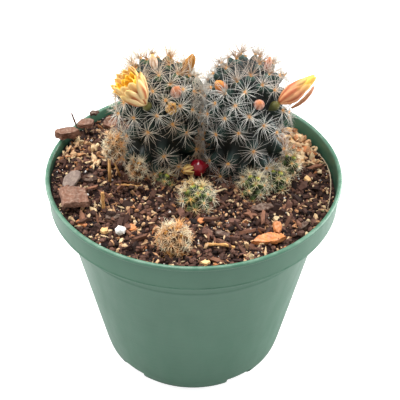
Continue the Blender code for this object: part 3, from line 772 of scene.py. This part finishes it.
def stem_finish(name, mottle_dark_and_valley_shade, flank, fresh):
    """Green waxy skin: painted shade darkens it between the nipples, and it is fresher towards the tips and the crown.
    """
    made = Finish(name, Roughness=0.5, Specular_IOR_Level=0.35)
    flanks = made.group(MOTTLE, Place=made.place, Scale=300.0, Dark=mottle_dark_and_valley_shade, Light=flank, Contrast=1.6)
    # Painted shade: where the rise is low, between the nipples, the skin takes the dark colour, which is also the dark
    # of the mottle.
    valley_shaded = made.mix(made.spread(made.attribute("rise"), 0.1, 0.75), mottle_dark_and_valley_shade, flanks["Color"])
    growth = made.math("MULTIPLY", made.attribute("young"), made.spread(made.attribute("rise"), 0.3, 1.0))
    made.into("Base Color", made.mix(made.spread(growth, 0.1, 0.8), valley_shaded, fresh))
    made.into("Roughness", made.spread(flanks["Height"], 0.3, 0.7, 0.42, 0.62))
    made.bump(made.noise(made.place, 1800.0, 3.0), 0.00008, 0.6)
    return made


# The first colour of each skin is the dark of its mottle and the painted shade between its nipples.
left_skin = stem_finish("left_stem_skin", colour(9, 20, 17), colour(34, 66, 52), colour(78, 98, 56))
right_skin = stem_finish("right_stem_skin", colour(9, 20, 18), colour(38, 70, 62), colour(66, 96, 82))
young_skin = stem_finish("young_skin", colour(26, 38, 18), colour(92, 118, 52), colour(186, 190, 72))
dry_skin = stem_finish("dry_skin", colour(70, 42, 16), colour(164, 108, 40), colour(220, 160, 64))


# %% Grow a head
class Habit:
    """How a kind of head grows. Lengths are in metres."""

    def __init__(self, spacing, depth, reach, radials, centrals, width, crowding=0.2, columns=96, fullness=1.0):
        self.spacing, self.depth, self.crowding, self.columns = spacing, depth, crowding, columns
        self.fullness = fullness
        self.wool = spacing * 0.085
        crown_reach = reach * CROWN_SPINES
        self.open_stars = [star(f"open {n}", reach, radials, centrals, (2.0, 26.0), width) for n in range(8)]
        self.crown_stars = [
            star(f"crown {n}", crown_reach, radials - 2, centrals + 3, (14.0, 75.0), width) for n in range(6)
        ]


CROWN_SPINES = 1.3
BESIDE_A_BUD = 0.0029
BURIED = 0.004
SPINE_SEAT = 0.0001
SPINE_LIFT = Vector((0, 0, 0.12))
GROWS_OUT = (
    "flower_left_tube", "flower_right_tube", "bud_left_pink", "bud_middle_orange", "bud_right_pink", "dried_flower_left"
)
on_the_heads = [(low + high) / 2 for low, high in map(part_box, GROWS_OUT)]


def grow(node, habit, skin, spines, tan=0.2, speckle=0.12):
    """Grows the skin, the spines and the wool of one head. tan is how far its spines have browned, and speckle how
    much that varies from areole to areole. Nothing grows where a flower or a bud comes out."""
    uneven = random.Random(node)
    middle, half, floor_z = round_form(node)
    spots = [
        spot
        for spot in areoles(middle, half, habit.spacing, habit.crowding, habit.fullness)
        if min((spot[0] - bud).length for bud in on_the_heads) > BESIDE_A_BUD
    ]
    settle(f"{node}_skin", nippled_skin(middle, half, floor_z, spots, habit), skin, [node])
    stars, tufts = [], []
    for place, normal, youth in spots:
        if place.z < BED_Z - BURIED:
            continue
        scale = uneven.uniform(0.85, 1.12)
        matrix = aimed_at(place + normal * SPINE_SEAT, normal + SPINE_LIFT, uneven.uniform(0, math.tau))
        low = max(0.0, 1.0 - (place.z - BED_Z) / (half.z * 1.2))
        crown = youth**3
        tone = min(1.0, max(0.0, tan * (0.3 + 1.2 * low + 1.6 * crown) + uneven.gauss(0, speckle)))
        kinds = habit.crown_stars if youth > uneven.uniform(0.25, 0.6) else habit.open_stars
        stars.append((kinds, matrix @ Matrix.Scale(scale, 4), tone))
        flat = Matrix.Diagonal((1, 1, 0.7, 1))
        tufts.append((0, matrix @ flat @ Matrix.Scale(2 * habit.wool, 4), uneven.random()))
    bm = bmesh.new()
    for kinds, matrix, tone in stars:
        add_copy(bm, uneven.choice(kinds), matrix, tone)
    settle(f"{node}_spines", bm, spines)
    scatter(f"{node}_wool", [tuft], tufts, areole_wool)


bm = new_shape()
bmesh.ops.create_icosphere(bm, subdivisions=2, radius=0.5)
tuft = shape_of(bm)

full_grown = Habit(0.0077, 0.0048, 0.0066, 26, 5, 0.00020, crowding=0.40, columns=260, fullness=0.62)
small = Habit(0.0042, 0.0018, 0.0034, 17, 4, 0.00017, fullness=0.9)
dried = Habit(0.0032, 0.0015, 0.0028, 18, 6, 0.00019, fullness=0.9)

grow("head_left", full_grown, left_skin, white_spines, tan=0.45, speckle=0.18)
grow("head_right", full_grown, right_skin, grey_spines, tan=0.40, speckle=0.14)
grow("head_back", full_grown, left_skin, white_spines, tan=0.50, speckle=0.18)
for node in (
    "offset_low_left", "offset_right_front", "offset_right_side", "offset_right_high", "offset_middle_front"
):
    grow(node, small, young_skin, cream_spines, tan=0.30, speckle=0.30)
for node in ("offset_pale_yellow", "offset_left_dried", "offset_front_dried"):
    grow(node, dried, dry_skin, golden_spines, tan=0.35, speckle=0.40)

# %% [markdown]
# ## Flowers and buds
# The flowers are funnels of narrow pointed petals, cream at the edges with a peach stripe down the middle, on a
# short green tube. A petal is a grid bent to a leaf shape and given a thickness. A whorl copies it round the axis,
# and a bud is the same whorl closed up.


# %% A petal
def petal(length, width, radii, cup=0.35, wall=0.00022, twist=0.0, seed=0):
    """A pointed petal along +Z, standing out along +X by radii, which are read evenly from foot to tip."""
    uneven = random.Random(seed)
    bm = new_shape()
    layers = bm.verts.layers.float
    across = layers.new("across")
    bmesh.ops.create_grid(bm, x_segments=14, y_segments=6, size=0.5)
    curl = uneven.uniform(-0.15, 0.15)
    for vertex in bm.verts:
        share, side = vertex.co.x + 0.5, 2 * vertex.co.y
        vertex[layers["along"]] = share
        vertex[across] = abs(side)
        step = min(share * (len(radii) - 1), len(radii) - 1.001)
        out = radii[int(step)] + (radii[int(step) + 1] - radii[int(step)]) * (step - int(step))
        swell = 0.40 + 0.60 * math.sin(math.pi / 2 * min(1.0, share / 0.55))
        half = width / 2 * max(0.03, swell * math.sqrt(1.0 - share**4))
        lean = side * twist * share + curl * share**2
        vertex.co = (out - cup * half * side**2 + half * side * lean, half * side, length * share)
    bmesh.ops.recalc_face_normals(bm, faces=bm.faces)
    bmesh.ops.solidify(bm, geom=bm.faces[:], thickness=wall)
    bmesh.ops.recalc_face_normals(bm, faces=bm.faces)
    return shape_of(bm)


def whorl(bm, place, way, count, length, width, radii, first=0.0, uneven=0.08, **details):
    """Adds a ring of petals to the bmesh."""
    vary = random.Random(f"{count} {length} {first}")
    for number in range(count):
        size = vary.uniform(1 - uneven, 1 + uneven)
        stands_out = [radius * vary.uniform(1 - uneven, 1 + uneven) for radius in radii]
        shape = petal(length * size, width, stands_out, seed=number, **details)
        turn = math.tau * (number + first) / count + vary.gauss(0, uneven)
        add_copy(bm, shape, aimed_at(place, way, turn), vary.random())
        bpy.data.meshes.remove(shape)


# %% Petal finishes
def petal_finish(name, edge, stripe, tip, stripe_width=0.55):
    """Cream edges, a stripe down the middle, and a colour towards the tip."""
    made = Finish(name, Roughness=0.5, Specular_IOR_Level=0.3)
    striped = made.mix(made.spread(made.attribute("across"), 0.12, stripe_width, 1.0, 0.0), edge, stripe)
    tipped = made.mix(made.spread(made.attribute("along"), 0.62, 1.0), striped, tip)
    veins = made.group(FIBRE, Place=made.place, Scale=1300.0, Stretch=(1.0, 1.0, 0.25))
    veined = made.mix(made.spread(veins["Height"], 0.35, 0.65, 0.0, 0.22), tipped, stripe)
    made.into("Base Color", veined)
    made.bump(veins["Height"], 0.00012, 0.6)
    return made


peach_petals = petal_finish("peach_petals", colour(244, 216, 160), colour(182, 104, 60), colour(246, 210, 130), 0.5)
yellow_petals = petal_finish("yellow_petals", colour(250, 204, 62), colour(240, 170, 34), colour(252, 214, 84))
pink_petals = petal_finish("pink_petals", colour(226, 164, 116), colour(180, 98, 64), colour(232, 190, 100))
gold_petals = petal_finish("gold_petals", colour(236, 190, 78), colour(220, 150, 60), colour(236, 200, 92))
sepal_petals = petal_finish("sepals", colour(206, 156, 118), colour(150, 94, 62), colour(176, 114, 80))
bud_petals = petal_finish("bud_petals", colour(206, 168, 152), colour(150, 98, 84), colour(222, 140, 84))
orange_petals = petal_finish("orange_buds", colour(214, 134, 78), colour(158, 84, 52), colour(232, 158, 66))
pale_petals = petal_finish("pale_buds", colour(232, 214, 196), colour(186, 148, 120), colour(222, 170, 90))
tan_petals = petal_finish("tan_dried_petals", colour(228, 196, 122), colour(146, 94, 44), colour(206, 150, 76))
brown_petals = petal_finish("dried_petals", colour(176, 124, 56), colour(84, 50, 22), colour(196, 138, 62))
tube_skin = stem_finish("flower_tube", colour(50, 54, 22), colour(88, 90, 40), colour(118, 112, 52))


# %% The two flowers
def egg_profile(length, width, fullest=0.5, points=16):
    found = []
    for step in range(points + 1):
        share = step / points
        bulge = math.sin(math.pi * share ** (math.log(0.5) / math.log(fullest)))
        found.append((0.0 if step in (0, points) else width / 2 * bulge, length * share))
    return found


def middle_of(node):
    low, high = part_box(node)
    return (low + high) / 2


def make_tube(side, way, length, width):
    """The green tube under a flower. Returns where the petals start."""
    foot = middle_of(f"flower_{side}_tube") - way * length / 2
    bm = turned(egg_profile(length * 1.08, width, 0.55), 32)
    # rise and young climb the tube, so its foot takes the skin finish's painted shade and its top the fresh colour.
    for layer in ("rise", "young"):
        found = bm.verts.layers.float.new(layer)
        for vertex in bm.verts:
            vertex[found] = min(1.0, vertex.co.z / length)
    bmesh.ops.transform(bm, matrix=aimed_at(foot, way), verts=bm.verts)
    settle(f"flower_{side}_green_tube", bm, tube_skin, [f"flower_{side}_tube"])
    return foot + way * length


LEFT_WAY = Vector((-0.52, -0.12, 0.84)).normalized()
top = make_tube("left", LEFT_WAY, 0.0036, 0.0036)
bm = bmesh.new()
whorl(bm, top, LEFT_WAY, 10, 0.0122, 0.0044, (0.0008, 0.0034, 0.0049, 0.0056, 0.0062), cup=0.5, uneven=0.10)
whorl(bm, top, LEFT_WAY, 9, 0.0130, 0.0042, (0.0007, 0.0030, 0.0042, 0.0047, 0.0048), first=0.5, cup=0.5)
settle("flower_left_striped_petals", bm, peach_petals, ["flower_left_outer_petals"])
bm = bmesh.new()
whorl(bm, top, LEFT_WAY, 9, 0.0118, 0.0038, (0.0005, 0.0024, 0.0034, 0.0038, 0.0036), first=0.2, cup=0.5)
whorl(bm, top, LEFT_WAY, 7, 0.0106, 0.0034, (0.0003, 0.0016, 0.0022, 0.0024, 0.0020), first=0.7, cup=0.4)
settle("flower_left_yellow_petals", bm, yellow_petals, ["flower_left_inner_petals"])

RIGHT_WAY = Vector((0.79, 0.20, 0.58)).normalized()
top = make_tube("right", RIGHT_WAY, 0.0052, 0.0034)
bm = bmesh.new()
whorl(bm, top, RIGHT_WAY, 8, 0.0116, 0.0036, (0.0008, 0.0026, 0.0031, 0.0027, 0.0017), cup=0.6, uneven=0.10)
settle("flower_right_striped_petals", bm, pink_petals, ["flower_right_outer_petals"])
bm = bmesh.new()
whorl(bm, top, RIGHT_WAY, 7, 0.0144, 0.0036, (0.0006, 0.0020, 0.0024, 0.0019, 0.0006), first=0.5, cup=0.6)
settle("flower_right_yellow_petals", bm, gold_petals, ["flower_right_inner_petals"])

sepal_middle = middle_of("flower_right_loose_sepal")
bm = bmesh.new()
sepal = petal(0.0110, 0.0018, (0.0, 0.0008, 0.0006, -0.0004, -0.0026), cup=0.5)
add_copy(bm, sepal, aimed_at(sepal_middle - RIGHT_WAY * 0.0050, RIGHT_WAY, math.pi), 0.5)
settle("flower_right_curled_sepal", bm, sepal_petals, ["flower_right_loose_sepal"])


# %% Buds and dried flowers
def make_bud(node, name, way, length, width, finish, count=6, open_tip=0.05, twist=0.0):
    """A closed bud: a round core with two whorls of petals laid over it."""
    way = Vector(way).normalized()
    foot = middle_of(node) - way * length / 2
    bm = bmesh.new()
    closed = [width / 2 * r for r in (0.45, 0.92, 1.0, 0.78, open_tip)]
    whorl(bm, foot, way, count, length, width * 0.72, closed, cup=0.7, twist=twist)
    tighter = [r * 0.8 for r in closed]
    whorl(bm, foot, way, count, length * 1.06, width * 0.72, tighter, first=0.5, cup=0.7, twist=twist)
    core = turned(egg_profile(length * 0.92, width * 0.7), 20)
    for layer in ("tone", "along", "central", "across"):
        core.verts.layers.float.new(layer)
    shape = shape_of(core)
    add_copy(bm, shape, aimed_at(foot, way), 0.3)
    bpy.data.meshes.remove(shape)
    return settle(name, bm, finish, [node])


make_bud("bud_left_pink", "bud_left", (0.10, -0.45, 0.85), 0.0054, 0.0038, bud_petals, twist=0.3)
make_bud("bud_middle_orange", "bud_middle", (-0.50, -0.30, 0.80), 0.0058, 0.0038, orange_petals, twist=0.3)
make_bud("bud_right_pink", "bud_right", (0.05, -0.65, 0.75), 0.0042, 0.0034, bud_petals, twist=0.3)
make_bud("bud_left_top", "bud_crown_left", (-0.15, 0.10, 0.98), 0.0050, 0.0026, pale_petals)
make_bud("bud_right_top", "bud_crown_right", (0.25, 0.20, 0.95), 0.0044, 0.0024, bud_petals)
make_bud(
    "dried_flower_back", "dried_flower_tall", (0.42, 0.25, 0.87), 0.0082, 0.0036, brown_petals, 5, 0.3, 0.9
)
make_bud(
    "dried_flower_left", "dried_flower_small", (0.25, -0.80, 0.55), 0.0034, 0.0038, tan_petals, 5, 0.45, 0.9
)

# %% [markdown]
# ## The ripe fruit
# One red berry sits in the cleft between the heads. Its skin is taut and wet-looking, so a clear coat goes over a
# deep red that is a little lighter where the flesh is thin, and its dried flower still sticks to the end.

# %% Fruit
berry = Finish("berry_skin", Roughness=0.22, Coat_Weight=0.6, Coat_Roughness=0.08)
flesh = berry.group(
    MOTTLE, Place=berry.place, Scale=240.0, Dark=colour(88, 4, 16), Light=colour(160, 10, 34), Contrast=1.6
)
berry.into("Base Color", flesh["Color"])
berry.bump(berry.noise(berry.place, 900.0, 2.0), 0.00005, 0.4)

FRUIT_LENGTH, FRUIT_WIDTH = 0.0094, 0.0068
fruit_way = (middle_of("fruit_dried_end") - middle_of("fruit")).normalized()
fruit_foot = middle_of("fruit") - fruit_way * FRUIT_LENGTH / 2
bm = turned(egg_profile(FRUIT_LENGTH, FRUIT_WIDTH, 0.60, 28), 48)
bmesh.ops.transform(bm, matrix=aimed_at(fruit_foot, fruit_way), verts=bm.verts)
settle("ripe_fruit", bm, berry, ["fruit"])
bm = bmesh.new()
end = fruit_foot + fruit_way * (FRUIT_LENGTH - 0.0012)
whorl(bm, end, fruit_way, 7, 0.0034, 0.0018, (0.0019, 0.0018, 0.0012, 0.0007), uneven=0.2)
settle("fruit_remnant", bm, tan_petals, ["fruit_dried_end"])

# %% [markdown]
# ## Bark, wood and straw
# The larger chips each have a CAD solid with the right outline. A merged copy of that solid gets its corners
# rounded, is divided finely, and is roughened with noise. That keeps each chip where the CAD rests it.

# %% Chip finishes
def chip_finish(name, dark, light, worn, stretch=(1.0, 0.3, 1.0), scale=520.0, dust=0.25):
    """Fibrous wood or bark with a little pale dust on top."""
    made = Finish(name, Roughness=0.88, Specular_IOR_Level=0.25)
    threads = made.group(FIBRE, Place=made.place, Scale=scale, Stretch=stretch)
    base = made.mix(made.spread(threads["Height"], 0.32, 0.68), dark, light)
    blotches = made.noise(made.place, 160.0, 4.0)
    base = made.mix(made.spread(blotches, 0.35, 0.75, 0.0, 0.7), base, worn)
    dusted = made.group(DUST, Color=base, Dust=colour(214, 196, 176), Amount=dust, Scale=900.0, Place=made.place)
    made.into("Base Color", dusted["Color"])
    made.bump(threads["Height"], 0.0004, 0.8)
    return made


brown_bark = chip_finish("brown_bark", colour(66, 40, 32), colour(146, 104, 84), colour(108, 76, 62))
dark_bark = chip_finish("dark_bark", colour(36, 24, 20), colour(100, 72, 60), colour(74, 54, 46))
orange_wood = chip_finish("orange_wood", colour(148, 80, 42), colour(228, 156, 98), colour(206, 122, 66))
cream_wood = chip_finish("cream_wood", colour(182, 130, 78), colour(240, 204, 146), colour(226, 176, 112))
grey_scale = chip_finish("grey_scale", colour(96, 80, 72), colour(140, 122, 112), colour(124, 108, 102))
straw_finish = chip_finish("dry_straw", colour(150, 98, 50), colour(224, 176, 112), colour(200, 150, 90), dust=0.1)
twig_finish = chip_finish("brown_twig", colour(66, 40, 28), colour(130, 84, 56), colour(100, 64, 46), dust=0.1)
root_finish = chip_finish(
    "root_fibre_skin", colour(150, 130, 108), colour(206, 188, 160), colour(180, 160, 134), dust=0.0
)
lump_finish = chip_finish(
    "perlite_lump", colour(226, 222, 214), colour(252, 251, 248), colour(240, 236, 228), (1, 1, 1)
)


# %% Rough copies of the chips
def rough_copy(node, name, finish, slot, rounding, detail, roughness, slim=0.0):
    """A merged copy of a CAD node, its corners rounded, divided until its faces are about detail wide, roughened,
    and made slimmer all round."""
    bm = bmesh.new()
    bm.from_mesh(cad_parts[node].data)
    bmesh.ops.remove_doubles(bm, verts=bm.verts, dist=1e-6)
    bmesh.ops.dissolve_limit(bm, angle_limit=math.radians(2.0), verts=bm.verts, edges=bm.edges)
    if rounding:
        sharp = [edge for edge in bm.edges if edge.calc_face_angle(0.0) > math.radians(25.0)]
        bmesh.ops.bevel(
            bm, geom=sharp, offset=rounding, offset_type="OFFSET", affect="EDGES", segments=2, profile=0.5,
            material=-1, clamp_overlap=True,
        )
    bmesh.ops.triangulate(bm, faces=bm.faces)
    for _ in range(6):
        long_edges = [edge for edge in bm.edges if edge.calc_length() > detail]
        if not long_edges:
            break
        bmesh.ops.subdivide_edges(bm, edges=long_edges, cuts=1)
        bmesh.ops.triangulate(bm, faces=bm.faces)
    bm.normal_update()
    for vertex in bm.verts:
        wave = noise.noise(vertex.co * 420.0) + 0.6 * noise.noise(vertex.co * 1300.0)
        vertex.co += vertex.normal * (roughness * (wave - 0.35) - slim)
    return settle(name, bm, finish, [node], crease=45)


# The dried offset at the left edge still hangs on two withered stalks, which reach down to the bed.
DRIED_STALKS = (
    (0.0006, (-0.0019, -0.0028, -0.0030), (-0.0018, -0.0056, -0.0112)),
    (0.00035, (0.0001, -0.0034, -0.0044), (0.0019, -0.0026, -0.0112)),
)


def stalk(radius, top, foot):
    """A stalk between two points, a little thicker at its foot."""
    way = Vector(top) - Vector(foot)
    bm = new_shape()
    bmesh.ops.create_cone(bm, cap_ends=True, segments=10, radius1=radius * 1.2, radius2=radius * 0.8, depth=way.length)
    bmesh.ops.transform(bm, matrix=aimed_at((Vector(top) + Vector(foot)) / 2, way), verts=bm.verts)
    return shape_of(bm)


# What a chip's corners are rounded by, how wide its faces are, and how rough it is
CHIP = (0.0002, 0.0005, 0.00045)
BROWN_BARK = "bark_slab_on_rim", "bark_chip_on_rim", "bark_chip_back", "bark_square"
DARK_BARK = (
    "bark_chip_by_leaf", "bark_flat", "bark_chip_front", "bark_chip_right", "bark_chip_rim_dark", "bark_curl_dark"
)
ORANGE_WOOD = (
    "wood_chip_left", "wood_curl", "wood_chip_middle", "wood_chip_peach", "wood_chip_long", "wood_pile_middle"
)
CREAM_WOOD = "wood_chip_tan", "wood_chip_rim", "wood_chip_right", "wood_pile_low", "wood_pile_high"
for finish, slot, nodes in (
    (brown_bark, "bark", BROWN_BARK),
    (orange_wood, "wood_chip", ORANGE_WOOD),
    (dark_bark, "bark", DARK_BARK),
    (cream_wood, "wood_chip", CREAM_WOOD),
):
    for node in nodes:
        rough_copy(node, f"{node}_broken", finish, slot, *CHIP)
rough_copy("leaf_scale", "leaf_scale_dry", grey_scale, "leaf_scale", 0.00012, 0.0005, 0.0002)
rough_copy("perlite_grain", "perlite_lump", lump_finish, "perlite", 0.0, 0.0005, 0.0003)
for node in ("straw_upright", "straw_left_long", "straw_middle", "bark_strip_curved"):
    rough_copy(node, f"{node}_split", straw_finish, "straw", 0.0, 0.0006, 0.00018)
for node in ("twig_thin", "straw_left_short", "twig_upright"):
    rough_copy(node, f"{node}_bark", twig_finish, "twig", 0.0, 0.0006, 0.00014)
rough_copy("root_fibre", "root_fibre_hair", root_finish, "twig", 0.0, 0.0008, 0.00005, 0.00013)

low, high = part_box("offset_left_dried")
bm = bmesh.new()
for radius, top, foot in DRIED_STALKS:
    add_copy(bm, stalk(radius, top, foot), Matrix.Translation((low + high) / 2), 0.5)
settle("dried_offset_stalks", bm, straw_finish)
